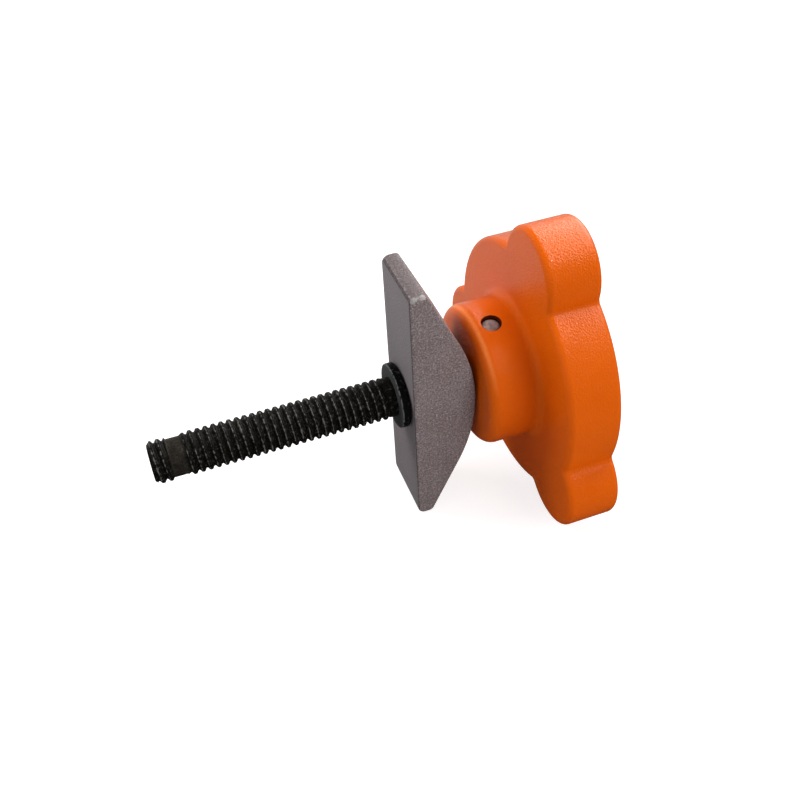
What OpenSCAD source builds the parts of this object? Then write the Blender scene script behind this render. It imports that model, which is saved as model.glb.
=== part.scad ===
// Folding lock of a scooter stem: a clamping screw with a three-eared hand knob and a
// free-turning gable-backed clamp plate. Millimetres. The stud lies along X with its tip
// toward -X. The origin is on the stud's axis, in the plate's flat clamping face.

/* [Stud] */
// Diameter over the thread crests
stud_d = 8; // [6:0.1:12]
// Diameter of the plain shank behind the thread
shank_d = 7.6; // [5.5:0.1:12]
// Length from the tip to the plate's clamping face
stud_len = 47.6; // [30:0.1:80]
// Length of the short thread at the tip, with its chamfer
tip_len = 3; // [1.5:0.1:6]
// Chamfer at the tip
tip_chamfer = 0.7; // [0.2:0.1:1.5]
// Diameter of the turned neck behind the tip
neck_d = 7.1; // [5:0.1:8]
// Length of the turned neck, with its two flanks
neck_len = 2.8; // [1.5:0.1:8]
// Distance from the clamping face back to the end of the main thread
thread_back = 3.2; // [2.5:0.1:10]
// Distance that the shank reaches past the cross pin's axis inside the knob
stud_past_pin = 6; // [4:0.1:9]

/* [Retaining ring] */
// Outer diameter of the ring
ring_d = 12.6; // [11:0.1:16]
// Thickness of the ring along the stud
ring_t = 1.6; // [0.8:0.1:3]
// Rounding of the ring's outer edges
ring_round = 0.3; // [0.1:0.05:0.4]

/* [Clamp plate] */
// Length of the plate across the stud
plate_len = 54.4; // [40:0.1:70]
// Width of the plate
plate_w = 14.4; // [12:0.1:24]
// Thickness at the two ends
plate_end_t = 2.9; // [2.6:0.1:6]
// Thickness in the middle, at the crown
plate_mid_t = 12.2; // [8:0.1:16]
// Radius of the crown
crown_r = 34.5; // [8:0.5:40]
// Rounding of the clamping face's end edges
plate_end_round = 1.4; // [0.3:0.1:1.5]
// Rounding of the slopes' end edges
plate_back_round = 1.1; // [0.3:0.1:1.2]
// Rounding of the corners seen along the stud
plate_corner_r = 1.2; // [0.3:0.1:4]

/* [Hand knob] */
// Radius of the grip's round disc
disc_r = 24.7; // [20:0.1:30]
// Radius from the axis to the tip of an ear
ear_tip_r = 32.8; // [28:0.1:40]
// Radius of an ear's rounded end
ear_r = 9; // [6:0.1:13]
// Number of ears
ears = 3; // [2:1:6]
// Thickness of the grip along the axis
grip_t = 10.3; // [8:0.1:16]
// Rounding of the grip's edges
grip_round = 1.1; // [0.8:0.1:4]
// Distance from the clamping face to the grip's rear face
grip_at = 22.7; // [20:0.1:32]
// Diameter of the boss
boss_d = 27.5; // [20:0.1:34]
// Rounding of the boss's front edge
boss_round = 2.2; // [0.5:0.1:5]
// Fillet between the boss and the grip
boss_fillet = 1.6; // [0.5:0.1:3]
// Turn of the knob about the stud, from an ear straight up
knob_turn = 10.5; // [0:0.1:119]

/* [Cross pin] */
// Diameter of the pin
pin_d = 3.4; // [2:0.1:5]
// Distance from the clamping face to the pin's axis
pin_at = 17.1; // [16:0.1:20]
// Depth of each pin end below the boss's surface
pin_sink = 0.7; // [0.3:0.1:2]
// Chamfer at each pin end
pin_chamfer = 0.35; // [0.1:0.05:0.8]
// Extra diameter of the hole's mouth around the pin's end
mouth_gap = 0.8; // [0.3:0.1:1.5]
// Depth of the hole's mouth
mouth_depth = 1.5; // [0.8:0.1:3]

/* [Fits] */
// Radial play of the plate on the shank
swivel_play = 0.08; // [0.02:0.01:0.3]
// Gap between the plate's clamping face and the ring
ring_gap = 0.3; // [0.1:0.05:0.8]
// Gap between the plate's crown and the boss
boss_gap = 0.6; // [0.3:0.05:2]
// Gap behind the shank's end in the knob's socket
socket_gap = 0.3; // [0.1:0.1:1]

/* [Hidden] */
$fn = 96;
stud_r = stud_d / 2;
shank_r = shank_d / 2;
neck_flank = (stud_d - neck_d) / 2;
back_flank = abs(stud_d - shank_d) / 2;
boss_at = plate_mid_t + boss_gap;
stud_end = pin_at + stud_past_pin;
ring_back = -ring_gap;
pin_half = boss_d / 2 - pin_sink;
// Centre of the crown's arc, and the angle and the sharp meeting of the straight slopes
crown_c = plate_mid_t - crown_r;
slope_dist = norm([plate_len / 2, plate_end_t - crown_c]);
slope_a = atan2(plate_len / 2, plate_end_t - crown_c) - acos(crown_r / slope_dist);
apex_y = crown_c + crown_r / cos(slope_a);
// Growth of the corner arcs, which then cross the straight edges at about 2 degrees
arc_swell = 1.0006;
// Centre of the rounding between a slope and its end face, measured from the clamping face
back_c = plate_end_t - plate_back_round * tan((90 - slope_a) / 2);

// Local x points up, local y toward the viewer's side and local z along the stud.
module along_stud() {
    rotate([0, 90, 0])
        rotate([0, 0, 180])
            children();
}

// Half section of a disc with rounded rims, for turning about the y axis.
module disc_section(r, t, round) {
    difference() {
        square([r, t]);
        translate([r - round, 0])
            rim_cut(round);
        translate([r - round, t])
            mirror([0, 1])
                rim_cut(round);
    }
}

// Corner left over outside a quarter circle.
module rim_cut(round) {
    difference() {
        translate([0, -1])
            square([round + 1, round + 1]);
        translate([0, round])
            circle(r = round);
    }
}

// Outline of the grip seen along the stud: a round disc with ears.
module grip_outline() {
    circle(r = disc_r);
    for (i = [0 : ears - 1])
        rotate(i * 360 / ears)
            translate([ear_tip_r - ear_r, 0])
                circle(r = ear_r);
}

// Cap with a rounded rim for one circle of that outline.
module rim_cap(r) {
    rotate_extrude()
        intersection() {
            union() {
                square([r - grip_round, grip_round]);
                translate([r - grip_round, 0])
                    circle(r = grip_round);
            }
            square([r + 1, grip_round + 1]);
        }
}

// Grip: a straight-sided middle with caps on its front and rear.
module grip() {
    translate([0, 0, grip_at + grip_t / 2]) {
        linear_extrude(grip_t - 2 * grip_round, center = true)
            grip_outline();
        for (s = [0, 1])
            mirror([0, 0, s])
                translate([0, 0, grip_t / 2 - grip_round]) {
                    rim_cap(disc_r);
                    for (i = [0 : ears - 1])
                        rotate(i * 360 / ears)
                            translate([ear_tip_r - ear_r, 0, 0])
                                rim_cap(ear_r);
                }
    }
}

// Boss section: rounded front edge, straight side, fillet into the grip.
module boss_section() {
    boss_r = boss_d / 2;
    difference() {
        translate([0, boss_at])
            square([boss_r, grip_at - boss_at + 1]);
        translate([boss_r - boss_round, boss_at])
            rim_cut(boss_round);
    }
    difference() {
        translate([boss_r - 1, grip_at - boss_fillet])
            square([boss_fillet + 1, boss_fillet + 1]);
        translate([boss_r + boss_fillet, grip_at - boss_fillet])
            circle(r = boss_fillet);
    }
}

module hand_knob() {
    color([0.91, 0.38, 0.04])
        along_stud()
            rotate([0, 0, knob_turn])
                difference() {
                    union() {
                        grip();
                        rotate_extrude()
                            boss_section();
                    }
                    // Socket for the shank
                    translate([0, 0, boss_at - 1])
                        cylinder(r = shank_r, h = stud_end + socket_gap - boss_at + 1);
                    // Cross hole and its two mouths
                    translate([0, 0, pin_at])
                        rotate([0, 90, 0])
                            cylinder(d = pin_d, h = boss_d + 2, center = true);
                    for (s = [0, 180])
                        rotate([0, 0, s])
                            translate([boss_d / 2 - mouth_depth, 0, pin_at])
                                rotate([0, 90, 0])
                                    cylinder(d = pin_d + mouth_gap, h = mouth_depth + 1);
                }
}

module stud() {
    color([0.06, 0.06, 0.055])
        along_stud()
            rotate([0, 0, knob_turn])
                difference() {
                    rotate_extrude()
                        polygon([
                            [0, -stud_len],
                            [stud_r - tip_chamfer, -stud_len],
                            [stud_r, -stud_len + tip_chamfer],
                            [stud_r, -stud_len + tip_len],
                            [stud_r - neck_flank, -stud_len + tip_len + neck_flank],
                            [stud_r - neck_flank, -stud_len + tip_len + neck_len - neck_flank],
                            [stud_r, -stud_len + tip_len + neck_len],
                            [stud_r, -thread_back],
                            [shank_r, -thread_back + back_flank],
                            [shank_r, stud_end - tip_chamfer],
                            [shank_r - tip_chamfer, stud_end],
                            [0, stud_end]
                        ]);
                    translate([0, 0, pin_at])
                        rotate([0, 90, 0])
                            cylinder(d = pin_d, h = stud_d + 2, center = true);
                }
}

module cross_pin() {
    color([0.62, 0.6, 0.58])
        along_stud()
            rotate([0, 0, knob_turn])
                translate([0, 0, pin_at])
                    rotate([0, 90, 0])
                        rotate_extrude()
                            polygon([
                                [0, -pin_half],
                                [pin_d / 2 - pin_chamfer, -pin_half],
                                [pin_d / 2, -pin_half + pin_chamfer],
                                [pin_d / 2, pin_half - pin_chamfer],
                                [pin_d / 2 - pin_chamfer, pin_half],
                                [0, pin_half]
                            ]);
}

// Side view of the plate: a sharp gable with its five corners rounded off.
module plate_section() {
    half = plate_len / 2;
    difference() {
        polygon([
            [-half, 0],
            [half, 0],
            [half, plate_end_t],
            [0, apex_y],
            [-half, plate_end_t]
        ]);
        translate([0, crown_c])
            corner_cut(crown_r, 90 - slope_a, 90 + slope_a);
        for (s = [0, 1])
            mirror([s, 0]) {
                translate([half - plate_end_round, plate_end_round])
                    corner_cut(plate_end_round, -90, 0);
                translate([half - plate_back_round, back_c])
                    corner_cut(plate_back_round, 0, 90 - slope_a);
            }
    }
}

// Corner left over outside an arc about the origin, between two directions.
module corner_cut(r, from, to) {
    half_turn = (to - from) / 2;
    mid = (from + to) / 2;
    reach = r / cos(half_turn) + 1;
    difference() {
        polygon([
            [0, 0],
            reach * [cos(from), sin(from)],
            reach / cos(half_turn) * [cos(mid), sin(mid)],
            reach * [cos(to), sin(to)]
        ]);
        circle(r = r * arc_swell);
    }
}

module clamp_plate() {
    color([0.43, 0.4, 0.41])
        along_stud()
            difference() {
                intersection() {
                    rotate([90, 0, 0])
                        linear_extrude(plate_w, center = true)
                            plate_section();
                    plate_outline();
                }
                translate([0, 0, -1])
                    cylinder(r = shank_r + swivel_play, h = plate_mid_t + 2);
            }
}

// Outline of the plate seen along the stud, with rounded corners.
module plate_outline() {
    c = plate_corner_r;
    linear_extrude(plate_mid_t + 1)
        difference() {
            square([plate_len, plate_w], center = true);
            for (i = [0, 1], j = [0, 1])
                mirror([i, 0])
                    mirror([0, j])
                        translate([plate_len / 2 - c, plate_w / 2 - c])
                            difference() {
                                square([c + 1, c + 1]);
                                circle(r = c);
                            }
        }
}

module retaining_ring() {
    color([0.07, 0.07, 0.07])
        along_stud()
            translate([0, 0, ring_back - ring_t])
                difference() {
                    rotate_extrude()
                        disc_section(ring_d / 2, ring_t, ring_round);
                    translate([0, 0, -1])
                        cylinder(r = shank_r, h = ring_t + 2);
                }
}

hand_knob();
stud();
cross_pin();
clamp_plate();
retaining_ring();
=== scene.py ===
"""Looks of a scooter folding lock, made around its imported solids.

A threaded stud carries a free-turning clamp plate, a retaining ring and a hand knob that is
pinned to it. Lengths are in metres in the frame of the solids: X runs along the stud toward
the knob, Z along the clamp plate, and the origin is in the plate's flat clamping face.
"""

import math

import bpy
import numpy as np
from mathutils import Matrix, Vector


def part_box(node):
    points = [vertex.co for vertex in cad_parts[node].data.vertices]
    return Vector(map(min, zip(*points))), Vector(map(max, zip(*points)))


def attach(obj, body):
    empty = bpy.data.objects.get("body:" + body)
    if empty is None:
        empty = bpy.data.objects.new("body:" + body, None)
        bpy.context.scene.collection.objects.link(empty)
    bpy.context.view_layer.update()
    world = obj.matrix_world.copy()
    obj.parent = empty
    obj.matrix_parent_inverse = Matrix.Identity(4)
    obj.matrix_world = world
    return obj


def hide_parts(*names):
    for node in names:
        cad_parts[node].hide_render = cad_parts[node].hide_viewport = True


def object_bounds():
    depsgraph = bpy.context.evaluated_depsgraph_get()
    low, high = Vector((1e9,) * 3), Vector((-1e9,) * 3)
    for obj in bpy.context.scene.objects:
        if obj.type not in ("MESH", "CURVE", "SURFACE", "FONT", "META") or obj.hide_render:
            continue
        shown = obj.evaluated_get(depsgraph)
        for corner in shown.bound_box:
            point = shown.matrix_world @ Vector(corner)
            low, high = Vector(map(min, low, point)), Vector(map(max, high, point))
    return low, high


bl_info = {
    "name": "Folding Lock",
    "version": (1, 0, 0),
    "blender": (4, 5, 0),
    "location": "View3D > Sidebar > Folding Lock",
    "description": "Dresses the solids of a scooter folding lock and sets its studio",
    "category": "Object",
}

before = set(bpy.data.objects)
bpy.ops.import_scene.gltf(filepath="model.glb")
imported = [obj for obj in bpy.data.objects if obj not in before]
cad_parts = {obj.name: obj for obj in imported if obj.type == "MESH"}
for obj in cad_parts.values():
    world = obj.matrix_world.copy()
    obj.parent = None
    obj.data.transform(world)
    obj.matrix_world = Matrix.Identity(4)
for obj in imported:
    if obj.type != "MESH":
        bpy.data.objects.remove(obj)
CAD_BOX = [list(corner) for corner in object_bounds()]

MM = 0.001
LOCK_BODY = "lock"
PLATE_BODY = "plate"
WEAR_LAYER = "wear"
SHARP_ANGLE = math.radians(32)
RIGHT_ANGLE = math.pi / 2
FULL_TURN = 2 * math.pi
ALONG_STUD, TO_TIP, BACKWARD, UPWARD = (1, 0, 0), (-1, 0, 0), (0, 1, 0), (0, 0, 1)
WHITE, BLACK = (1.0, 1.0, 1.0), (0.0, 0.0, 0.0)

KNOB_LOW, KNOB_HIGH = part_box("hand_knob")
STUD_LOW, STUD_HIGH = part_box("stud")
_, PLATE_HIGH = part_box("clamp_plate")


# Properties

def length(name, description, metres):
    """A length that shows in the sidebar."""
    return bpy.props.FloatProperty(
        name=name, description=description, default=metres, unit="LENGTH", precision=5
    )


def angle(name, description, degrees):
    """An angle that shows in the sidebar."""
    return bpy.props.FloatProperty(
        name=name, description=description, default=math.radians(degrees), unit="ROTATION"
    )


def colour(name, description, rgb):
    """A linear colour that shows in the sidebar."""
    return bpy.props.FloatVectorProperty(
        name=name, description=description, default=rgb, subtype="COLOR", size=3, min=0, max=1
    )


def point(name, description, metres):
    """A point that shows in the sidebar."""
    return bpy.props.FloatVectorProperty(
        name=name, description=description, default=metres, subtype="TRANSLATION", size=3
    )


def number(name, description, value):
    """A plain number that shows in the sidebar."""
    return bpy.props.FloatProperty(name=name, description=description, default=value)


class KnobSettings(bpy.types.PropertyGroup):
    """Sizes and colours of the cast hand knob."""

    disc_radius: length("Disc radius", "Radius of the grip's round disc", 24.7 * MM)
    ear_radius: length("Ear radius", "Radius of an ear's rounded end", 9.0 * MM)
    ear_tip_radius: length("Ear tip radius", "Distance from the axis to an ear's tip", 32.8 * MM)
    ears: bpy.props.IntProperty(name="Ears", description="Number of ears", default=3, min=2)
    turn: angle("Turn", "Turn of the knob about the stud, from an ear straight up", 10.5)
    crease_radius: length("Crease radius", "Fillet in the crease beside each ear", 0.8 * MM)
    grip_thickness: length("Grip thickness", "Thickness of the grip along the axis", 10.3 * MM)
    edge_round: length("Edge rounding", "Rounding of the grip's edges", 1.1 * MM)
    boss_radius: length("Boss radius", "Radius of the boss", 13.75 * MM)
    boss_round: length("Boss rounding", "Rounding of the boss's front edge", 2.2 * MM)
    boss_fillet: length("Boss fillet", "Fillet between the boss and the grip", 1.6 * MM)
    socket_radius: length("Socket radius", "Radius of the socket for the stud", 3.8 * MM)
    socket_end: length("Socket end", "Place of the socket's bottom along the stud", 23.4 * MM)
    pin_at: length("Pin place", "Place of the cross hole's axis along the stud", 17.1 * MM)
    pin_radius: length("Cross hole radius", "Radius of the hole for the cross pin", 1.7 * MM)
    mouth_radius: length("Mouth radius", "Radius of the cross hole's mouths", 1.9 * MM)
    mouth_depth: length("Mouth depth", "Depth of the cross hole's mouths", 1.5 * MM)
    orange: colour("Orange", "Powder coat", (0.79, 0.123, 0.003))
    deep_orange: colour("Deep orange", "Powder coat where it lies thicker", (0.75, 0.112, 0.0025))
    dust: colour("Dust", "Pale specks on the powder coat", (0.95, 0.72, 0.5))
    # Painted highlight over the upper part of the boss's front edge
    rubbed_and_painted_highlight: colour("Painted highlight", "Lighter edge over the boss's front", (1.0, 0.26, 0.06))
    # Painted shade inside the cross hole
    hole: colour("Hole", "Inside of the cross hole", (0.13, 0.022, 0.005))


class StudSettings(bpy.types.PropertyGroup):
    """Sizes and colours of the threaded stud."""

    pitch: length("Pitch", "Pitch of the right-handed thread", 1.45 * MM)
    thread_depth: length("Thread depth", "Depth of the thread", 0.55 * MM)
    first_crest: length("First crest", "Place of a crest along the line of zero turn", -41.35 * MM)
    tip_chamfer: length("Tip chamfer", "Chamfer at the tip", 0.7 * MM)
    tip_length: length("Tip length", "Length of the short thread at the tip", 3.5 * MM)
    tip_flank: length("Tip flank", "Length over which the tip's thread ends", 0.3 * MM)
    neck_length: length("Neck length", "Length of the turned neck", 2.2 * MM)
    neck_radius: length("Neck radius", "Radius of the turned neck", 3.55 * MM)
    neck_flank: length("Neck flank", "Length over which the main thread begins", 1.1 * MM)
    thread_back: length("Thread end", "Distance from the clamping face to the thread", 3.2 * MM)
    run_out: length("Run-out", "Length over which the thread runs out", 0.6 * MM)
    shank_radius: length("Shank radius", "Radius of the plain shank", 3.8 * MM)
    black: colour("Black", "Black finish", (0.0045, 0.0043, 0.0038))
    faded: colour("Faded", "Light grains of the black finish", (0.034, 0.029, 0.024))
    # Worn crest steel, partly a painted highlight on the crests
    worn: colour("Worn", "Steel that shows on the thread crests", (0.15, 0.14, 0.13))


class PlateSettings(bpy.types.PropertyGroup):
    """Sizes and colours of the cast clamp plate."""

    end_thickness: length("End thickness", "Thickness at the two ends", 2.9 * MM)
    crown_radius: length("Crown radius", "Radius of the crown", 34.5 * MM)
    end_round: length("End rounding", "Rounding of the clamping face's end edges", 1.4 * MM)
    back_round: length("Back rounding", "Rounding of the slopes' end edges", 1.1 * MM)
    side_round: length("Side rounding", "Rounding of the long edges", 0.5 * MM)
    corner_radius: length("Corner radius", "Rounding of the corners seen along the stud", 1.1 * MM)
    crisp_radius: length("Crisp radius", "Rounding of the crisper corners on one side", 0.5 * MM)
    bore_radius: length("Bore radius", "Radius of the bore on the shank", 3.88 * MM)
    grey: colour("Grey", "Cast steel", (0.240, 0.198, 0.204))
    brown: colour("Brown", "Browned patches of the casting", (0.215, 0.170, 0.168))
    pit: colour("Pit", "Dark pits between the grains", (0.130, 0.106, 0.107))
    # Painted shade along the edge round the clamping face
    edge: colour("Edge", "Dark edge round the clamping face", (0.060, 0.052, 0.054))
    sparkle: colour("Sparkle", "Light grains of the casting", (0.40, 0.34, 0.34))
    ground: colour("Ground", "Smooth ground clamping face", (0.200, 0.180, 0.190))
    # Bright worn corners, partly a painted highlight
    worn: colour("Worn", "Bright worn corners", (0.62, 0.60, 0.58))


class FittingSettings(bpy.types.PropertyGroup):
    """Colours of the retaining ring and the cross pin."""

    ring_black: colour("Ring black", "Black finish of the ring", (0.004, 0.004, 0.004))
    ring_face: colour("Ring face", "Greyer front face of the ring", (0.058, 0.062, 0.059))
    ring_edge: colour("Ring edge", "Steel that shows on the ring's edges", (0.14, 0.14, 0.14))
    pin_steel: colour("Pin steel", "Steel of the cross pin", (0.55, 0.46, 0.44))
    pin_dark: colour("Pin dark", "Stained steel of the cross pin", (0.26, 0.18, 0.17))


class StageSettings(bpy.types.PropertyGroup):
    """Camera, lights and floor."""

    target: point(
        "Target", "Point in the middle of the picture", (-0.59 * MM, -0.69 * MM, -0.88 * MM)
    )
    azimuth: angle("Azimuth", "Turn of the camera about the vertical", -17.52)
    elevation: angle("Elevation", "Height of the camera above the horizon", 43.01)
    roll: angle("Roll", "Turn of the camera about its own axis", -3.56)
    distance: length("Distance", "Distance from the target to the camera", 187.42 * MM)
    lens: number("Lens", "Focal length on a sensor 36 mm wide", 44.68)
    sky_light: number("Sky light", "Level of the even light from all around", 0.45)
    key_place: point("Key place", "Place of the overhead soft light", (0.18, 0.10, 0.52))
    key_size: length("Key size", "Side of the overhead soft light", 250 * MM)
    key_power: number("Key power", "Power of the overhead soft light, in watts", 1.2)
    side_place: point("Side place", "Place of the soft light on the left", (-0.35, 0.25, 0.35))
    side_size: length("Side size", "Side of the soft light on the left", 250 * MM)
    side_power: number("Side power", "Power of the soft light on the left, in watts", 1.6)
    fill_place: point("Fill place", "Place of the light beside the camera", (0.35, -0.50, 0.35))
    fill_size: length("Fill size", "Side of the soft light beside the camera", 500 * MM)
    fill_power: number("Fill power", "Power of the light beside the camera, in watts", 2.2)
    mirrored_lamp: number("Mirrored lamp", "Level overhead in reflections", 11.0)
    mirrored_back: number("Mirrored background", "Level behind the lock in reflections", 0.7)
    mirrored_floor: number("Mirrored floor", "Level of the floor behind in reflections", 0.52)
    mirrored_room: number("Mirrored room", "Level of the dim room in reflections", 0.03)
    floor_reach: length("Floor reach", "Half the side of the floor", 3.0)
    floor_glow: number("Floor glow", "Lift of the floor toward white in the picture", 0.76)
    floor: colour("Floor", "Pale floor", (0.55, 0.55, 0.55))


class LockSettings(bpy.types.PropertyGroup):
    """All settings of the folding lock."""

    knob: bpy.props.PointerProperty(type=KnobSettings)
    stud: bpy.props.PointerProperty(type=StudSettings)
    plate: bpy.props.PointerProperty(type=PlateSettings)
    fittings: bpy.props.PointerProperty(type=FittingSettings)
    stage: bpy.props.PointerProperty(type=StageSettings)


# Mesh tools

def add_object(name, data):
    """An object placed in the scene."""
    thing = bpy.data.objects.new(name, data)
    bpy.context.scene.collection.objects.link(thing)
    return thing


def around(up, side, along):
    """Points at distances up and to the side of the stud's axis, at one place along it.

    The side is toward -Y, as the knob turns in the solids.
    """
    return np.stack([np.full(len(up), along), -side, up], axis=-1)


def grid_faces(rows, columns):
    """Quads between successive rings of points, each ring closed on itself."""
    row = np.arange(rows - 1)[:, None] * columns
    column = np.arange(columns)[None, :]
    following = (column + 1) % columns
    return np.stack(
        [row + column, row + following, row + columns + following, row + columns + column],
        axis=-1,
    ).reshape(-1, 4)


def closed_skin(name, rings, first_centre, last_centre, wear=None):
    """A closed mesh over rings of points, with a fan to a centre point at each end."""
    rows, columns = len(rings), len(rings[0])
    points = np.concatenate([np.concatenate(rings), [first_centre, last_centre]])
    quads = grid_faces(rows, columns).tolist()
    first, last = rows * columns, rows * columns + 1
    start = (rows - 1) * columns
    fans = []
    for i in range(columns):
        j = (i + 1) % columns
        fans.append((first, j, i))
        fans.append((last, start + i, start + j))
    mesh = bpy.data.meshes.new(name)
    mesh.from_pydata(points.tolist(), [], quads + fans)
    mesh.validate()
    if wear is not None:
        layer = mesh.attributes.new(WEAR_LAYER, "FLOAT", "POINT")
        values = np.concatenate([np.concatenate(wear), [0.0, 0.0]])
        layer.data.foreach_set("value", values.astype(np.float32))
    mesh.update()
    return mesh


def outward(mesh):
    """Turns the faces outward if the mesh encloses a negative volume."""
    points = np.empty(len(mesh.vertices) * 3)
    mesh.vertices.foreach_get("co", points)
    points = points.reshape(-1, 3)
    mesh.calc_loop_triangles()
    corners = np.empty(len(mesh.loop_triangles) * 3, dtype=np.int32)
    mesh.loop_triangles.foreach_get("vertices", corners)
    a, b, c = (points[corners.reshape(-1, 3)[:, k]] for k in range(3))
    if np.einsum("ij,ij->i", a, np.cross(b, c)).sum() < 0:
        mesh.flip_normals()


def add_piece(mesh, node, body):
    """Shows the mesh in place of a CAD node, on the node's body."""
    outward(mesh)
    piece = add_object(mesh.name, mesh)
    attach(piece, body)
    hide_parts(node)
    return piece


def cylinder_cutter(centre, axis, radius, reach, sides=64):
    """A closed cylinder that reaches the same distance both ways from its centre."""
    axis = Vector(axis).normalized()
    turned = axis.to_track_quat("Z", "Y").to_matrix()
    rings = []
    for height in (-reach, reach):
        points = [
            Vector(centre)
            + turned @ Vector((radius * math.cos(t), radius * math.sin(t), height))
            for t in np.linspace(0, FULL_TURN, sides, endpoint=False)
        ]
        rings.append(np.array(points))
    ends = [Vector(centre) + axis * height for height in (-reach, reach)]
    mesh = closed_skin("cutter", rings, ends[0], ends[1])
    outward(mesh)
    return add_object("cutter", mesh)


def cut(piece, *cutters):
    """Takes the cutters out of the piece for good."""
    for cutter in cutters:
        modifier = piece.modifiers.new("cut", "BOOLEAN")
        modifier.operation = "DIFFERENCE"
        modifier.solver = "EXACT"
        modifier.object = cutter
    depsgraph = bpy.context.evaluated_depsgraph_get()
    mesh = bpy.data.meshes.new_from_object(
        piece.evaluated_get(depsgraph), preserve_all_data_layers=True, depsgraph=depsgraph
    )
    plain = piece.data
    name = plain.name
    piece.modifiers.clear()
    piece.data = mesh
    bpy.data.meshes.remove(plain)
    mesh.name = name
    for cutter in cutters:
        bpy.data.meshes.remove(cutter.data)


def shade(piece):
    """Smooth shading that keeps true edges sharp."""
    piece.data.shade_smooth()
    piece.data.set_sharp_from_angle(angle=SHARP_ANGLE)


# Shapes

# Points and rings of the knob, of the stud and of the plate
EAR_POINTS, CREASE_POINTS, GAP_POINTS = 30, 8, 26
EDGE_STEPS, FILLET_STEPS, WALL_RINGS, RIM_RINGS = 9, 7, 9, 5
STUD_SIDES, RINGS_PER_PITCH, SHANK_RINGS = 96, 18, 24
END_POINTS, SLOPE_POINTS, CROWN_POINTS, FACE_POINTS = 9, 14, 15, 16
SIDE_STEPS, WIDTH_RINGS, BORE_SIDES = 6, 12, 96
# Shares of the way outward at which rings lie in the flat faces of the boss and the grip
BOSS_SHARE = 0.4
REAR_SHARES = (0.04, 0.3, 0.6, 0.85, 0.97)
FRONT_SHARES = (0.985, 0.9, 0.7, 0.4, 0.1)
# Distance from a rounding to the next ring, which keeps what is beside it straight
HOLD = 0.2 * MM
SIDE_HOLD = 0.1 * MM
# How far a cutter reaches past a surface
PAST = 1 * MM
# Widths of the thread over its crest and at its root, and of its worn line that is partly a
# painted highlight, in pitches
CREST_WIDTH, ROOT_WIDTH = 0.22, 0.96
RUBBED_AND_PAINTED_HIGHLIGHT_AT, RUBBED_AND_PAINTED_HIGHLIGHT_REACH = -0.1, 0.12
# Reach of the plate's bright wear, partly a painted highlight, from its side, in corner radii, and
# its highest mark
WEAR_AND_HIGHLIGHT_REACH, MOST_WEAR_AND_HIGHLIGHT = 1.5, 1.2


def cross_direction(knob):
    """Direction of the cross hole, which turns with the knob."""
    return Vector((0, -math.sin(knob.turn), math.cos(knob.turn)))


def grip_outline(knob, inset):
    """Outline of the grip seen along the stud, set in by a distance, with filleted creases.

    Each circle keeps its centre as the outline is set in, so that every ring of points has
    its tangent points in the same directions. Returns up and side coordinates.
    """
    disc, ear, crease = knob.disc_radius, knob.ear_radius, knob.crease_radius
    reach = knob.ear_tip_radius - ear
    near, far = disc + crease, ear + crease
    lean = math.acos((reach**2 + near**2 - far**2) / (2 * reach * near))
    fillet_up, fillet_side = near * math.cos(lean), near * math.sin(lean)
    ear_end = math.atan2(fillet_side, fillet_up - reach)
    sector = FULL_TURN / knob.ears
    ear_arc = np.linspace(0, ear_end, EAR_POINTS, endpoint=False)
    fillet_arc = np.linspace(ear_end + math.pi, lean + math.pi, CREASE_POINTS, endpoint=False)
    disc_arc = np.linspace(lean, sector / 2, GAP_POINTS, endpoint=False)
    half = [
        (reach + (ear - inset) * np.cos(ear_arc), (ear - inset) * np.sin(ear_arc)),
        (
            fillet_up + (crease + inset) * np.cos(fillet_arc),
            fillet_side + (crease + inset) * np.sin(fillet_arc),
        ),
        ((disc - inset) * np.cos(disc_arc), (disc - inset) * np.sin(disc_arc)),
    ]
    half_up = np.concatenate([part[0] for part in half])
    half_side = np.concatenate([part[1] for part in half])
    middle = disc - inset
    up_parts, side_parts = [], []
    for i in range(knob.ears):
        start = i * sector + knob.turn
        # The second half mirrors the first about the middle of the gap between two ears
        local_up = np.concatenate([half_up, [middle * math.cos(sector / 2)]])
        local_side = np.concatenate([half_side, [middle * math.sin(sector / 2)]])
        mirror_up = (half_up * math.cos(sector) + half_side * math.sin(sector))[:0:-1]
        mirror_side = (half_up * math.sin(sector) - half_side * math.cos(sector))[:0:-1]
        u = np.concatenate([local_up, mirror_up])
        v = np.concatenate([local_side, mirror_side])
        up_parts.append(u * math.cos(start) - v * math.sin(start))
        side_parts.append(u * math.sin(start) + v * math.cos(start))
    return np.concatenate(up_parts), np.concatenate(side_parts)


def arc_steps(count):
    """Angles from 0 to a right angle."""
    return np.linspace(0, RIGHT_ANGLE, count + 1)


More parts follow.
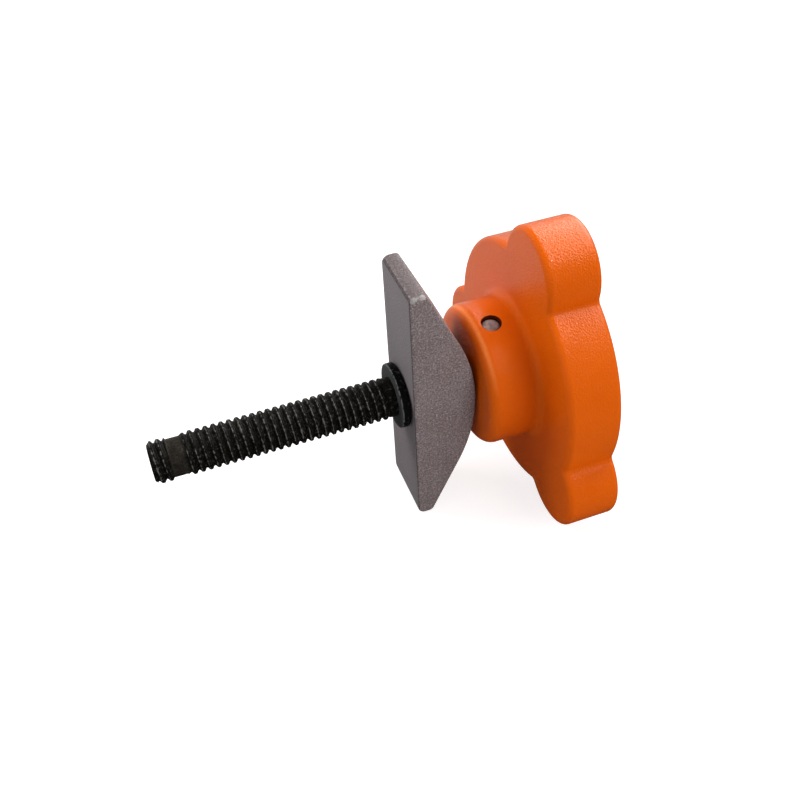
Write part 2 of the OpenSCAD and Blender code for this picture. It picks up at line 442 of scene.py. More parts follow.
def knob_rings(knob):
    """Rings of points from the bottom of the socket, over the boss and round the grip."""
    boss_at, front = KNOB_LOW.x, KNOB_HIGH.x
    rear = front - knob.grip_thickness
    edge = knob.edge_round
    rim_up, rim_side = grip_outline(knob, edge)
    angles = np.arctan2(rim_side, rim_up)
    rings = []

    def circle(radius, along):
        rings.append(around(radius * np.cos(angles), radius * np.sin(angles), along))

    def outline(inset, along):
        rings.append(around(*grip_outline(knob, inset), along))

    def flat(share, along, inner):
        """A ring in a flat face, between a circle and the rim."""
        up = (1 - share) * inner * np.cos(angles) + share * rim_up
        side = (1 - share) * inner * np.sin(angles) + share * rim_side
        rings.append(around(up, side, along))

    for along in np.linspace(knob.socket_end, boss_at, WALL_RINGS):
        circle(knob.socket_radius, along)
    flat_end = knob.boss_radius - knob.boss_round
    circle(BOSS_SHARE * flat_end + (1 - BOSS_SHARE) * knob.socket_radius, boss_at)
    circle(flat_end - HOLD, boss_at)
    for t in arc_steps(EDGE_STEPS):
        along = boss_at + knob.boss_round * (1 - math.cos(t))
        circle(flat_end + knob.boss_round * math.sin(t), along)
    fillet_at = rear - knob.boss_fillet
    for along in np.linspace(boss_at + knob.boss_round + HOLD, fillet_at - HOLD, WALL_RINGS):
        circle(knob.boss_radius, along)
    foot = knob.boss_radius + knob.boss_fillet
    for t in arc_steps(FILLET_STEPS):
        circle(foot - knob.boss_fillet * math.cos(t), fillet_at + knob.boss_fillet * math.sin(t))
    for share in REAR_SHARES:
        flat(share, rear, foot)
    for t in arc_steps(EDGE_STEPS):
        outline(edge * (1 - math.sin(t)), rear + edge * (1 - math.cos(t)))
    for along in np.linspace(rear + edge + HOLD, front - edge - HOLD, RIM_RINGS):
        outline(0, along)
    for t in arc_steps(EDGE_STEPS)[::-1]:
        outline(edge * (1 - math.sin(t)), front - edge * (1 - math.cos(t)))
    for share in FRONT_SHARES:
        flat(share, front, 0)
    return rings, (knob.socket_end, 0, 0), (front, 0, 0)


def thread_shape(stud, along, angles):
    """Radius of the stud and mark of wear at each place along it and angle round it."""
    tip, radius = STUD_LOW.x, STUD_HIGH.y
    neck_from = tip + stud.tip_length
    neck_to = neck_from + stud.neck_length
    thread_to = -stud.thread_back
    x, t = along[:, None], angles[None, :]
    phase = (x - stud.first_crest) / stud.pitch - t / FULL_TURN
    past_crest = phase - np.floor(phase + 0.5)
    from_root = ROOT_WIDTH - 2 * np.abs(past_crest)
    flank = np.clip(from_root / (ROOT_WIDTH - CREST_WIDTH), 0, 1)
    crest = flank * flank * (3 - 2 * flank)
    thread = radius - stud.thread_depth * (1 - crest)
    # Share of the thread left beside the neck and at the run-out
    beside_tip = (neck_from - x) / stud.tip_flank
    beside_main = (x - neck_to) / stud.neck_flank
    run_out = (thread_to - x) / stud.run_out
    share = np.clip(np.minimum(np.maximum(beside_tip, beside_main), run_out), 0, 1)
    beside_neck = x < (neck_to + thread_to) / 2
    plain = np.where(beside_neck, stud.neck_radius, stud.shank_radius)
    shape = plain + share * (thread - plain)
    tip_limit = radius - stud.tip_chamfer + (x - tip)
    end_limit = stud.shank_radius - stud.tip_chamfer + (STUD_HIGH.x - x)
    # The side of each crest toward the tip is worn bright, partly as a painted highlight. A mark
    # below 0 fades the neck
    rubbed_and_painted_highlight = np.clip(1 - np.abs(past_crest - RUBBED_AND_PAINTED_HIGHLIGHT_AT) / RUBBED_AND_PAINTED_HIGHLIGHT_REACH, 0, 1) * share
    in_neck = np.where(beside_neck, share - 1, 0.0)
    return np.minimum(np.minimum(shape, tip_limit), end_limit), rubbed_and_painted_highlight + in_neck


def stud_rings(stud):
    """Rings of points from the stud's tip to its end inside the knob."""
    angles = np.linspace(0, FULL_TURN, STUD_SIDES, endpoint=False)
    tip, end = STUD_LOW.x, STUD_HIGH.x
    fine = stud.pitch / RINGS_PER_PITCH
    threaded = np.arange(tip, -stud.thread_back + fine, fine)
    plain = np.linspace(-stud.thread_back + 2 * fine, end - stud.tip_chamfer, SHANK_RINGS)
    along = np.concatenate([threaded, plain, [end]])
    radius, wear = thread_shape(stud, along, angles)
    rings = [
        np.stack([np.full(len(angles), x), r * np.cos(angles), r * np.sin(angles)], axis=-1)
        for x, r in zip(along, radius)
    ]
    return rings, (tip, 0, 0), (end, 0, 0), list(wear)


def plate_section(plate, reach):
    """Arcs of the plate's side view, as centre, radius and the directions they face.

    Directions run from the clamping face, which faces -X, round the upper end to the crown.
    The end stands at a given reach on slopes that stay where they are.
    """
    half, crown = PLATE_HIGH.z, PLATE_HIGH.x
    crown_centre = crown - plate.crown_radius
    corner = plate.end_thickness - crown_centre
    distance = math.hypot(half, corner)
    slope = math.atan2(half, corner) - math.acos(plate.crown_radius / distance)
    # Corner between the end face and the slope, rounded
    back, end = plate.back_round, plate.end_round
    slope_faces = RIGHT_ANGLE - slope
    thickness = plate.end_thickness + (half - reach) * math.tan(slope)
    back_x = thickness - back * math.tan(slope_faces / 2)
    crown_arc = np.linspace(slope_faces, RIGHT_ANGLE, CROWN_POINTS)
    return [
        ((end, reach - end), end, np.linspace(-RIGHT_ANGLE, 0, END_POINTS)),
        ((back_x, reach - back), back, np.linspace(0, slope_faces, END_POINTS)),
        ((crown_centre, 0.0), plate.crown_radius, crown_arc),
    ]


def plate_loop(plate, inset, reach):
    """Points of the plate's side view, set in by a distance, and how worn each one is."""
    x, z, wear = [], [], []
    # The end face is worn bright along its edges, most of all at their two corners, partly as a
    # painted highlight
    rubbed_and_painted_highlight = ((0, 0.75 * math.pi), (0.25 * math.pi, math.pi), (0, 0))
    for arc, (start, stop) in zip(plate_section(plate, reach), rubbed_and_painted_highlight):
        (centre_x, centre_z), radius, facing_to = arc
        x.append(centre_x + (radius - inset) * np.sin(facing_to))
        z.append(centre_z + (radius - inset) * np.cos(facing_to))
        wear.append(np.sin(np.linspace(start, stop, len(facing_to))))
    # Points along the straight slope and the flat face keep the quads short
    slope_x = np.linspace(x[1][-1], x[2][0], SLOPE_POINTS)[1:-1]
    slope_z = np.linspace(z[1][-1], z[2][0], SLOPE_POINTS)[1:-1]
    flat_z = np.linspace(0, z[0][0], FACE_POINTS)[1:-1]
    flat_x = np.full(len(flat_z), x[0][0])
    half_x = np.concatenate([flat_x, x[0], x[1], slope_x, x[2][:-1]])
    half_z = np.concatenate([flat_z, z[0], z[1], slope_z, z[2][:-1]])
    half_wear = np.concatenate(
        [np.zeros(len(flat_z)), wear[0], wear[1], np.zeros(len(slope_x)), wear[2][:-1]]
    )
    top, bottom = x[2][-1], x[0][0]
    loop_x = np.concatenate([[bottom], half_x, [top], half_x[::-1]])
    loop_z = np.concatenate([[0.0], half_z, [0.0], -half_z[::-1]])
    loop_wear = np.concatenate([[0.0], half_wear, [0.0], half_wear[::-1]])
    return loop_x, loop_z, loop_wear


def plate_rings(plate):
    """Loops of points across the plate's width, set in at its two long sides."""
    half_width, half_length = PLATE_HIGH.y, PLATE_HIGH.z
    side = plate.side_round
    stations = [
        (side * (1 - math.sin(t)), half_width - side * (1 - math.cos(t)))
        for t in arc_steps(SIDE_STEPS)
    ]
    inner = np.linspace(half_width - side - SIDE_HOLD, 0, WIDTH_RINGS)
    stations += [(0.0, y) for y in inner]
    stations += [(inset, -y) for inset, y in stations[-2::-1]]
    rings, wear = [], []
    for inset, y in stations:
        corner = plate.corner_radius if y > 0 else plate.crisp_radius
        into_corner = max(abs(y) - (half_width - corner), 0.0)
        reach = half_length - corner + math.sqrt(max(corner**2 - into_corner**2, 0.0))
        x, z, worn = plate_loop(plate, inset, reach)
        rings.append(np.stack([x, np.full(len(x), y), z], axis=-1))
        # Only the crisp edge of the upper end face is worn bright, partly as a painted highlight
        near_edge = np.clip(WEAR_AND_HIGHLIGHT_REACH - (half_width + y) / corner, 0.0, MOST_WEAR_AND_HIGHLIGHT)
        wear.append(worn * near_edge * (inset < side) * (z > 0))
    middle_x = PLATE_HIGH.x / 2
    return rings, (middle_x, stations[0][1], 0), (middle_x, stations[-1][1], 0), wear


# Node tools

# Places of a Mix node's colour sockets
MIX_A, MIX_B, MIX_RESULT = 6, 7, 2


def opaque(rgb):
    """A colour as a socket takes it."""
    return (*rgb, 1.0)


def feed(tree, socket, value):
    """Links another socket to an input, or sets a constant on it."""
    if isinstance(value, bpy.types.NodeSocket):
        tree.links.new(value, socket)
    else:
        socket.default_value = value


def set_inputs(node, values):
    """Constants on a node's inputs. An underscore in a name stands for a space."""
    for name, value in values.items():
        node.inputs[name.replace("_", " ")].default_value = value


def add_node(tree, kind, **inputs):
    """A shader node with constants set on its inputs."""
    node = tree.nodes.new(kind)
    set_inputs(node, inputs)
    return node


def maths(tree, operation, a, b=0.0, clamp=False):
    """The result of a Math node on sockets or numbers."""
    node = tree.nodes.new("ShaderNodeMath")
    node.operation = operation
    node.use_clamp = clamp
    feed(tree, node.inputs[0], a)
    feed(tree, node.inputs[1], b)
    return node.outputs["Value"]


def product(tree, first, *factors):
    """The product of sockets or numbers."""
    for factor in factors:
        first = maths(tree, "MULTIPLY", first, factor)
    return first


def vector_maths(tree, operation, a, b=(0, 0, 0)):
    """A Vector Math node on a socket and a constant vector."""
    node = tree.nodes.new("ShaderNodeVectorMath")
    node.operation = operation
    tree.links.new(a, node.inputs[0])
    node.inputs[1].default_value = b
    return node


def toward(tree, vector, direction):
    """How far a vector reaches in a direction."""
    return vector_maths(tree, "DOT_PRODUCT", vector, direction).outputs["Value"]


def mix_level(tree, factor, a, b):
    """A level between two sockets or numbers."""
    node = tree.nodes.new("ShaderNodeMix")
    tree.links.new(factor, node.inputs["Factor"])
    feed(tree, node.inputs["A"], a)
    feed(tree, node.inputs["B"], b)
    return node.outputs["Result"]


def mix_colour(tree, factor, a, b):
    """A colour between two sockets or colours."""
    node = tree.nodes.new("ShaderNodeMix")
    node.data_type = "RGBA"
    tree.links.new(factor, node.inputs["Factor"])
    for place_at, value in ((MIX_A, a), (MIX_B, b)):
        is_socket = isinstance(value, bpy.types.NodeSocket)
        feed(tree, node.inputs[place_at], value if is_socket else opaque(value))
    return node.outputs[MIX_RESULT]


def remap(tree, value, low, high, to_low=0.0, to_high=1.0):
    """A value stretched from one range to another, and kept in it."""
    node = add_node(
        tree, "ShaderNodeMapRange", From_Min=low, From_Max=high, To_Min=to_low, To_Max=to_high
    )
    tree.links.new(value, node.inputs["Value"])
    return node.outputs["Result"]


def band(tree, value, low, high, fall=0.1):
    """1 in the middle of a range of a value, falling to 0 over a share of it at each end."""
    middle, span = (low + high) / 2, high - low
    off = maths(tree, "ABSOLUTE", maths(tree, "SUBTRACT", value, middle))
    return remap(tree, off, (0.5 - fall) * span, 0.5 * span, 1.0, 0.0)


def place(tree):
    """Coordinates that stay with the piece as it moves, in metres."""
    return tree.nodes.new("ShaderNodeTexCoord").outputs["Object"]


def facing(tree, direction):
    """1 where the surface of the piece faces a direction, 0 where it stands along it."""
    return toward(tree, tree.nodes.new("ShaderNodeTexCoord").outputs["Normal"], direction)


def off_line(tree, through, direction):
    """Distance from a line through a point, in metres."""
    offset = vector_maths(tree, "SUBTRACT", place(tree), through).outputs["Vector"]
    crossed = vector_maths(tree, "CROSS_PRODUCT", offset, direction).outputs["Vector"]
    return vector_maths(tree, "LENGTH", crossed).outputs["Value"]


def noise(tree, scale, detail, roughness):
    """Noise with a socket for its scale, in cells per metre."""
    node = add_node(tree, "ShaderNodeTexNoise", Detail=detail, Roughness=roughness)
    tree.links.new(place(tree), node.inputs["Vector"])
    tree.links.new(scale, node.inputs["Scale"])
    return node.outputs["Fac"]


def marked_wear(tree):
    """Wear that the mesh carries at its points."""
    mark = tree.nodes.new("ShaderNodeAttribute")
    mark.attribute_name = WEAR_LAYER
    return mark.outputs["Fac"]


# Shared effects

def new_group(name, inputs, outputs):
    """An empty shader node group with float inputs and outputs."""
    tree = bpy.data.node_groups.new(name, "ShaderNodeTree")
    kind = "NodeSocketFloat"
    for socket_name, value in inputs:
        socket = tree.interface.new_socket(socket_name, in_out="INPUT", socket_type=kind)
        socket.default_value = value
    for socket_name in outputs:
        tree.interface.new_socket(socket_name, in_out="OUTPUT", socket_type=kind)
    return tree, tree.nodes.new("NodeGroupInput"), tree.nodes.new("NodeGroupOutput")


def make_grain_group():
    """Fine grain with broad patches, for cast and coated surfaces."""
    tree, entry, exit_node = new_group(
        "Grain",
        [("Grain Scale", 2500.0), ("Patch Scale", 120.0)],
        ["Grain", "Patches"],
    )
    fine = noise(tree, entry.outputs["Grain Scale"], detail=2.0, roughness=0.55)
    broad = noise(tree, entry.outputs["Patch Scale"], detail=3.0, roughness=0.5)
    tree.links.new(remap(tree, fine, 0.3, 0.7), exit_node.inputs["Grain"])
    tree.links.new(remap(tree, broad, 0.35, 0.65), exit_node.inputs["Patches"])
    return tree


def make_wear_group():
    """Bare metal where a mark says that an edge is worn, broken up by noise."""
    tree, entry, exit_node = new_group(
        "Edge Wear",
        [("Mark", 0.0), ("Amount", 0.5), ("Break", 0.4), ("Break Scale", 900.0)],
        ["Worn"],
    )
    spots = noise(tree, entry.outputs["Break Scale"], detail=3.0, roughness=0.6)
    broken = product(tree, remap(tree, spots, 0.35, 0.65, -1.0, 1.0), entry.outputs["Break"])
    level = remap(tree, maths(tree, "ADD", entry.outputs["Mark"], broken), 0.45, 1.1)
    worn = maths(tree, "MULTIPLY", level, entry.outputs["Amount"], clamp=True)
    tree.links.new(worn, exit_node.inputs["Worn"])
    return tree


def make_speck_group():
    """A few small specks, such as dust or metallic flecks."""
    tree, entry, exit_node = new_group(
        "Specks",
        [("Cell Scale", 260.0), ("Size", 0.04), ("Share", 0.2)],
        ["Specks"],
    )
    cells = tree.nodes.new("ShaderNodeTexVoronoi")
    tree.links.new(place(tree), cells.inputs["Vector"])
    tree.links.new(entry.outputs["Cell Scale"], cells.inputs["Scale"])
    chosen = tree.nodes.new("ShaderNodeSeparateColor")
    tree.links.new(cells.outputs["Color"], chosen.inputs["Color"])
    picked = maths(tree, "LESS_THAN", chosen.outputs["Red"], entry.outputs["Share"])
    near = maths(tree, "LESS_THAN", cells.outputs["Distance"], entry.outputs["Size"])
    tree.links.new(product(tree, picked, near), exit_node.inputs["Specks"])
    return tree


GROUPS = {"Grain": make_grain_group, "Edge Wear": make_wear_group, "Specks": make_speck_group}


def group_node(tree, name, **values):
    """A shared group placed in a material with its own values. It is built on first use."""
    node = tree.nodes.new("ShaderNodeGroup")
    node.node_tree = bpy.data.node_groups.get(name) or GROUPS[name]()
    set_inputs(node, values)
    return node


def grain_and_patches(tree, grain_scale, patch_scale):
    """Fine grain and broad patches, with their scales in cells per metre."""
    node = group_node(tree, "Grain", Grain_Scale=grain_scale, Patch_Scale=patch_scale)
    return node.outputs["Grain"], node.outputs["Patches"]


def worn_edges(tree, mark, **values):
    """Bare metal round a mark."""
    node = group_node(tree, "Edge Wear", **values)
    tree.links.new(mark, node.inputs["Mark"])
    return node.outputs["Worn"]


# Materials

# Painted shade inside the cross hole begins just outside its mouth
HOLE_SHADE_MARGIN = 1.01
# Strength of the painted shade along the edge round the plate's clamping face
EDGE_SHADE_AMOUNT = 0.65


def new_material(name):
    """A material with its tree and its Principled shader."""
    material = bpy.data.materials.new(name)
    material.use_nodes = True
    tree = material.node_tree
    return material, tree, tree.nodes["Principled BSDF"]


def dress(tree, shader, base, rough_by, roughness, relief, depth, specular=0.5):
    """Puts a colour, roughness between two levels and bump of a depth in metres on the shader."""
    tree.links.new(base, shader.inputs["Base Color"])
    tree.links.new(remap(tree, rough_by, 0.0, 1.0, *roughness), shader.inputs["Roughness"])
    shader.inputs["Specular IOR Level"].default_value = specular
    bump = add_node(tree, "ShaderNodeBump", Strength=1.0, Distance=depth)
    tree.links.new(relief, bump.inputs["Height"])
    tree.links.new(bump.outputs["Normal"], shader.inputs["Normal"])


def give(piece, material):
    """The piece in one material."""
    piece.data.materials.clear()
    piece.data.materials.append(material)


def orange_powder_coat(knob):
    """Orange powder coat with an orange-peel grain, a few dust specks, a painted highlight over
    the boss's front edge and painted shade in the cross hole.
    """
    material, tree, shader = new_material("orange_powder_coat")
    grain, patches = grain_and_patches(tree, 3100.0, 90.0)
    specks = group_node(tree, "Specks", Cell_Scale=170.0, Size=0.022, Share=0.16)
    base = mix_colour(tree, patches, knob.deep_orange, knob.orange)
    base = mix_colour(tree, specks.outputs["Specks"], base, knob.dust)
    # A painted highlight lightens the upper part of the boss's front edge
    along = toward(tree, place(tree), ALONG_STUD)
    on_boss = maths(tree, "LESS_THAN", along, KNOB_LOW.x + knob.boss_round)
    over_edge = band(tree, facing(tree, TO_TIP), 0.2, 0.75, fall=0.45)
    upper = remap(tree, facing(tree, UPWARD), 0.3, 0.7)
    uneven = remap(tree, grain, 0.0, 1.0, 0.6, 1.0)
    rubbed_and_painted_highlight = product(tree, over_edge, on_boss, upper, uneven)
    base = mix_colour(tree, rubbed_and_painted_highlight, base, knob.rubbed_and_painted_highlight)
    # Painted shade darkens the inside of the cross hole
    off_pin = off_line(tree, (knob.pin_at, 0, 0), cross_direction(knob))
    inside = maths(tree, "LESS_THAN", off_pin, HOLE_SHADE_MARGIN * knob.mouth_radius)
    base = mix_colour(tree, inside, base, knob.hole)
    shader.inputs["Specular Tint"].default_value = opaque((1.0, 0.9, 0.8))
    dress(
        tree, shader, base, rough_by=grain, roughness=(0.12, 0.2),
        relief=grain, depth=0.045 * MM, specular=0.22,
    )
    return material


def cast_steel(plate):
    """Sandy cast steel with a smooth ground face, painted shade along its edge, and bright worn
    corners that are partly a painted highlight.
    """
    material, tree, shader = new_material("cast_steel")
    grain, patches = grain_and_patches(tree, 2900.0, 160.0)
    worn = worn_edges(tree, marked_wear(tree), Amount=0.7, Break_Scale=700.0)
    sand = mix_colour(tree, patches, plate.brown, plate.grey)
    sand = mix_colour(tree, remap(tree, grain, 0.0, 0.5), plate.pit, sand)
    sand = mix_colour(tree, remap(tree, grain, 0.6, 1.0), sand, plate.sparkle)
    # The two end faces are darker
    endward = maths(tree, "ABSOLUTE", facing(tree, UPWARD))
    sand = mix_colour(tree, remap(tree, endward, 0.75, 0.95, 0.0, 0.7), sand, plate.pit)
    front = facing(tree, TO_TIP)
    ground = remap(tree, front, 0.94, 0.99)
    smooth = mix_colour(tree, remap(tree, patches, 0.0, 2.0), plate.ground, sand)
    base = mix_colour(tree, ground, sand, smooth)
    # Painted shade along the rounded edge round the clamping face
    edge = product(tree, band(tree, front, 0.72, 0.985), EDGE_SHADE_AMOUNT)
    base = mix_colour(tree, edge, base, plate.edge)
    base = mix_colour(tree, worn, base, plate.worn)
    relief = product(tree, grain, remap(tree, ground, 0.0, 1.0, 1.0, 0.15))
    dress(
        tree, shader, base, rough_by=grain, roughness=(0.62, 0.46),
        relief=relief, depth=0.08 * MM, specular=0.15,
    )
    return material


def black_oxide(name, black, faded, worn, mark, fading):
    """Black finish on steel, faded where one mask says so and worn where another does."""
    material, tree, shader = new_material(name)
    grain, patches = grain_and_patches(tree, 3200.0, 420.0)
    bare = worn_edges(tree, mark(tree), Amount=0.8, Break=0.65, Break_Scale=1500.0)
    base = mix_colour(tree, fading(tree, grain, patches), black, faded)
    base = mix_colour(tree, bare, base, worn)
    dress(
        tree, shader, base, rough_by=patches, roughness=(0.3, 0.48),
        relief=grain, depth=0.02 * MM, specular=0.04,
    )
    return material


def faded_grains(tree, grain, patches):
    """Marks the light grains of the finish, and patches of the neck, whose wear is below 0."""
    light = remap(tree, grain, 0.6, 1.1)
    amount = remap(tree, patches, 0.0, 1.0, -0.35, -1.0)
    uneven = product(tree, amount, remap(tree, grain, 0.0, 1.0, 0.3, 1.6))
    neck = maths(tree, "MULTIPLY", marked_wear(tree), uneven, clamp=True)
    return maths(tree, "MAXIMUM", light, neck)


def front_face(tree, _grain, patches):
    """Marks the flat face toward the stud's tip, a little uneven."""
    even = remap(tree, patches, 0.0, 1.0, 0.6, 1.0)
    return product(tree, remap(tree, facing(tree, TO_TIP), 0.9, 0.98), even)


def front_edge(tree):
    """Marks the rounded edge round the ring's front face."""
    return band(tree, facing(tree, TO_TIP), 0.2, 0.98)


def pin_steel(fittings):
    """Bare steel of the cross pin, stained in patches."""
    material, tree, shader = new_material("pin_steel")
    grain, patches = grain_and_patches(tree, 3000.0, 1100.0)
    base = mix_colour(tree, patches, fittings.pin_dark, fittings.pin_steel)
    shader.inputs["Metallic"].default_value = 0.6
    dress(
        tree, shader, base, rough_by=grain, roughness=(0.35, 0.55),
        relief=grain, depth=0.03 * MM,
    )
    return material


# Stage

# Zones of the reflections: where each begins and where it is full, as the reach of the view
# upward, along the stud or toward the back, and as the place of the floor behind the lock
LAMP_HEIGHT = (0.12, 0.5)
LAMP_ALONG = (0.355, 0.395)
BACK_DIRECTION = (-0.35, 0.55, 0.75)
BACK_REACH = (0.04, 0.1)
FLOOR_BEHIND = (25 * MM, 60 * MM)
SENSOR_WIDTH = 36.0


def by_ray(tree, seen, mirrored, lighting):
    """A level for rays from the camera or through glass, one for reflections, one for lighting."""
    path = tree.nodes.new("ShaderNodeLightPath").outputs
    eye = maths(tree, "MAXIMUM", path["Is Camera Ray"], path["Is Transmission Ray"])
    unseen = mix_level(tree, path["Is Glossy Ray"], lighting, mirrored)
    return mix_level(tree, eye, unseen, seen)


def add_floor(stage):
    """A pale floor under the lock, lifted to white in the picture but for the shadow."""
    half, level = stage.floor_reach, CAD_BOX[0][2]
    signs = ((-1, -1), (1, -1), (1, 1), (-1, 1))
    mesh = bpy.data.meshes.new("floor")
    mesh.from_pydata([(x * half, y * half, level) for x, y in signs], [], [(0, 1, 2, 3)])
    floor = add_object("floor", mesh)
    material, tree, shader = new_material("pale_floor")
    glossy = tree.nodes.new("ShaderNodeLightPath").outputs["Is Glossy Ray"]
    base = mix_colour(tree, glossy, stage.floor, BLACK)
    tree.links.new(base, shader.inputs["Base Color"])
    shader.inputs["Roughness"].default_value = 0.9
    shader.inputs["Specular IOR Level"].default_value = 0.0
    shader.inputs["Emission Color"].default_value = opaque(WHITE)
    spot = tree.nodes.new("ShaderNodeNewGeometry").outputs["Position"]
    behind = toward(tree, spot, BACKWARD)
    mirrored = remap(tree, behind, *FLOOR_BEHIND, stage.mirrored_room, stage.mirrored_floor)
    glow = by_ray(tree, stage.floor_glow, mirrored, 0.0)
    tree.links.new(glow, shader.inputs["Emission Strength"])
    give(floor, material)


def add_world(scene, stage):
    """White surroundings in the picture, even light on the lock, a studio in its reflections."""
    world = bpy.data.worlds.new("studio")
    world.use_nodes = True
    tree = world.node_tree
    background = tree.nodes["Background"]
    background.inputs["Color"].default_value = opaque(WHITE)
    view = tree.nodes.new("ShaderNodeTexCoord").outputs["Generated"]
    high = remap(tree, toward(tree, view, UPWARD), *LAMP_HEIGHT)
    right = remap(tree, toward(tree, view, ALONG_STUD), *LAMP_ALONG)
    lamp = product(tree, high, right, stage.mirrored_lamp)
    low = remap(tree, high, 0.0, 1.0, stage.mirrored_back, 0.0)
    behind = remap(tree, toward(tree, view, BACK_DIRECTION), *BACK_REACH)
    mirrored = product(tree, maths(tree, "ADD", lamp, low), behind)
    mirrored = maths(tree, "MAXIMUM", mirrored, stage.mirrored_room)
    level = by_ray(tree, 1.0, mirrored, stage.sky_light)
    tree.links.new(level, background.inputs["Strength"])
    scene.world = world


def add_area_light(name, place_at, aim, size, power):
    """A square soft light turned toward a point, not seen in reflections."""
    data = bpy.data.lights.new(name, "AREA")
    data.shape = "SQUARE"
    data.size = size
    data.energy = power
    light = add_object(name, data)
    light.location = place_at
    light.rotation_mode = "QUATERNION"
    light.rotation_quaternion = (Vector(aim) - Vector(place_at)).to_track_quat("-Z", "Y")
    light.visible_glossy = False


def add_lights(stage):
    """A soft light overhead, one on the left behind the plate and one beside the camera."""
    aim = stage.target
    add_area_light("key_light", stage.key_place, aim, stage.key_size, stage.key_power)
    add_area_light("side_light", stage.side_place, aim, stage.side_size, stage.side_power)
    add_area_light("fill_light", stage.fill_place, aim, stage.fill_size, stage.fill_power)


def add_camera(scene, stage):
    """The camera at the photograph's place."""
    azimuth, elevation, roll = stage.azimuth, stage.elevation, stage.roll
    back = Vector(
        (
            math.sin(azimuth) * math.cos(elevation),
            -math.cos(azimuth) * math.cos(elevation),
            math.sin(elevation),
        )
    )
    level = Vector((math.cos(azimuth), math.sin(azimuth), 0))
    upright = back.cross(level)
    right = level * math.cos(roll) + upright * math.sin(roll)
    up = upright * math.cos(roll) - level * math.sin(roll)
    data = bpy.data.cameras.new("camera")
    data.sensor_width = SENSOR_WIDTH
    data.lens = stage.lens
    data.clip_start = 1 * MM
    camera = add_object("camera", data)
    turned = Matrix((right, up, back)).transposed().to_4x4()
    camera.matrix_world = Matrix.Translation(Vector(stage.target) + back * stage.distance) @ turned
    scene.camera = camera


# Operators

class LOCK_OT_hand_knob(bpy.types.Operator):
    """Builds the cast knob with soft creases, its socket and its cross hole"""

    bl_idname = "folding_lock.hand_knob"
    bl_label = "Hand Knob"

    def execute(self, context):
        knob = context.scene.folding_lock.knob
        rings, first, last = knob_rings(knob)
        piece = add_piece(closed_skin("knob_casting", rings, first, last), "hand_knob", LOCK_BODY)
        across = cross_direction(knob)
        middle = Vector((knob.pin_at, 0, 0))
        reach, mouth_reach = knob.boss_radius + PAST, knob.mouth_depth + PAST
        cutters = [cylinder_cutter(middle, across, knob.pin_radius, reach)]
        for side in (1, -1):
            mouth = middle + across * side * reach
            cutters.append(cylinder_cutter(mouth, across, knob.mouth_radius, mouth_reach))
        cut(piece, *cutters)
        shade(piece)
        give(piece, orange_powder_coat(knob))
        return {"FINISHED"}


class LOCK_OT_stud(bpy.types.Operator):
    """Builds the stud with its right-handed thread, turned neck and cross hole"""

    bl_idname = "folding_lock.stud"
    bl_label = "Stud"

    def execute(self, context):
        settings = context.scene.folding_lock
        stud, knob = settings.stud, settings.knob
        rings, first, last, wear = stud_rings(stud)
        mesh = closed_skin("threaded_stud", rings, first, last, wear)
        piece = add_piece(mesh, "stud", LOCK_BODY)
        across = cross_direction(knob)
        middle = Vector((knob.pin_at, 0, 0))
        cut(piece, cylinder_cutter(middle, across, knob.pin_radius, 2 * stud.shank_radius))
        shade(piece)
        finish = black_oxide(
            "black_stud", stud.black, stud.faded, stud.worn, marked_wear, faded_grains
        )
        give(piece, finish)
        return {"FINISHED"}


class LOCK_OT_clamp_plate(bpy.types.Operator):
    """Builds the cast clamp plate with rounded edges and its bore"""

    bl_idname = "folding_lock.clamp_plate"
    bl_label = "Clamp Plate"

    def execute(self, context):
        plate = context.scene.folding_lock.plate
        rings, first, last, wear = plate_rings(plate)
        mesh = closed_skin("plate_casting", rings, first, last, wear)
        piece = add_piece(mesh, "clamp_plate", PLATE_BODY)
        middle = Vector((PLATE_HIGH.x / 2, 0, 0))
        bore = cylinder_cutter(middle, ALONG_STUD, plate.bore_radius, PLATE_HIGH.x, BORE_SIDES)
        cut(piece, bore)
        shade(piece)
        give(piece, cast_steel(plate))
        return {"FINISHED"}


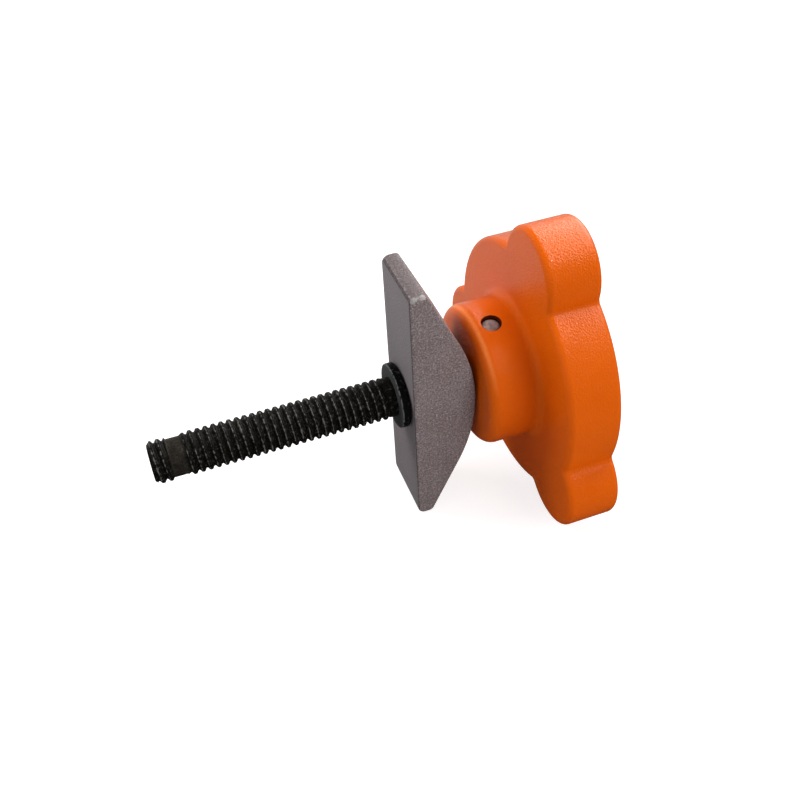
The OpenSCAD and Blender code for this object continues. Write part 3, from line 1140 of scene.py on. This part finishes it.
class LOCK_OT_fittings(bpy.types.Operator):
    """Finishes the retaining ring and the cross pin"""

    bl_idname = "folding_lock.fittings"
    bl_label = "Ring and Pin"

    def execute(self, context):
        fittings = context.scene.folding_lock.fittings
        ring = black_oxide(
            "black_ring",
            fittings.ring_black,
            fittings.ring_face,
            fittings.ring_edge,
            front_edge,
            front_face,
        )
        give(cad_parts["retaining_ring"], ring)
        give(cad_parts["cross_pin"], pin_steel(fittings))
        return {"FINISHED"}


class LOCK_OT_stage(bpy.types.Operator):
    """Sets the floor, the surroundings, the lights and the camera"""

    bl_idname = "folding_lock.stage"
    bl_label = "Stage"

    def execute(self, context):
        stage = context.scene.folding_lock.stage
        add_floor(stage)
        add_world(context.scene, stage)
        add_lights(stage)
        add_camera(context.scene, stage)
        context.scene.view_settings.view_transform = "Standard"
        return {"FINISHED"}


# Panel and registration

class LOCK_PT_panel(bpy.types.Panel):
    """Steps and settings of the folding lock"""

    bl_idname = "LOCK_PT_panel"
    bl_label = "Folding Lock"
    bl_space_type = "VIEW_3D"
    bl_region_type = "UI"
    bl_category = "Folding Lock"

    def draw(self, context):
        settings = context.scene.folding_lock
        for operator, group in PIECES:
            self.layout.operator(operator.bl_idname)
            values = getattr(settings, group)
            for name in values.__annotations__:
                self.layout.prop(values, name)


PIECES = (
    (LOCK_OT_hand_knob, "knob"),
    (LOCK_OT_stud, "stud"),
    (LOCK_OT_clamp_plate, "plate"),
    (LOCK_OT_fittings, "fittings"),
    (LOCK_OT_stage, "stage"),
)
CLASSES = (
    KnobSettings,
    StudSettings,
    PlateSettings,
    FittingSettings,
    StageSettings,
    LockSettings,
    *(operator for operator, _ in PIECES),
    LOCK_PT_panel,
)


def register():
    for cls in CLASSES:
        bpy.utils.register_class(cls)
    bpy.types.Scene.folding_lock = bpy.props.PointerProperty(type=LockSettings)


def unregister():
    del bpy.types.Scene.folding_lock
    for cls in reversed(CLASSES):
        bpy.utils.unregister_class(cls)


def main():
    """Builds every piece and the stage."""
    register()
    bpy.ops.folding_lock.hand_knob()
    bpy.ops.folding_lock.stud()
    bpy.ops.folding_lock.clamp_plate()
    bpy.ops.folding_lock.fittings()
    bpy.ops.folding_lock.stage()


if __name__ == "__main__":
    main()
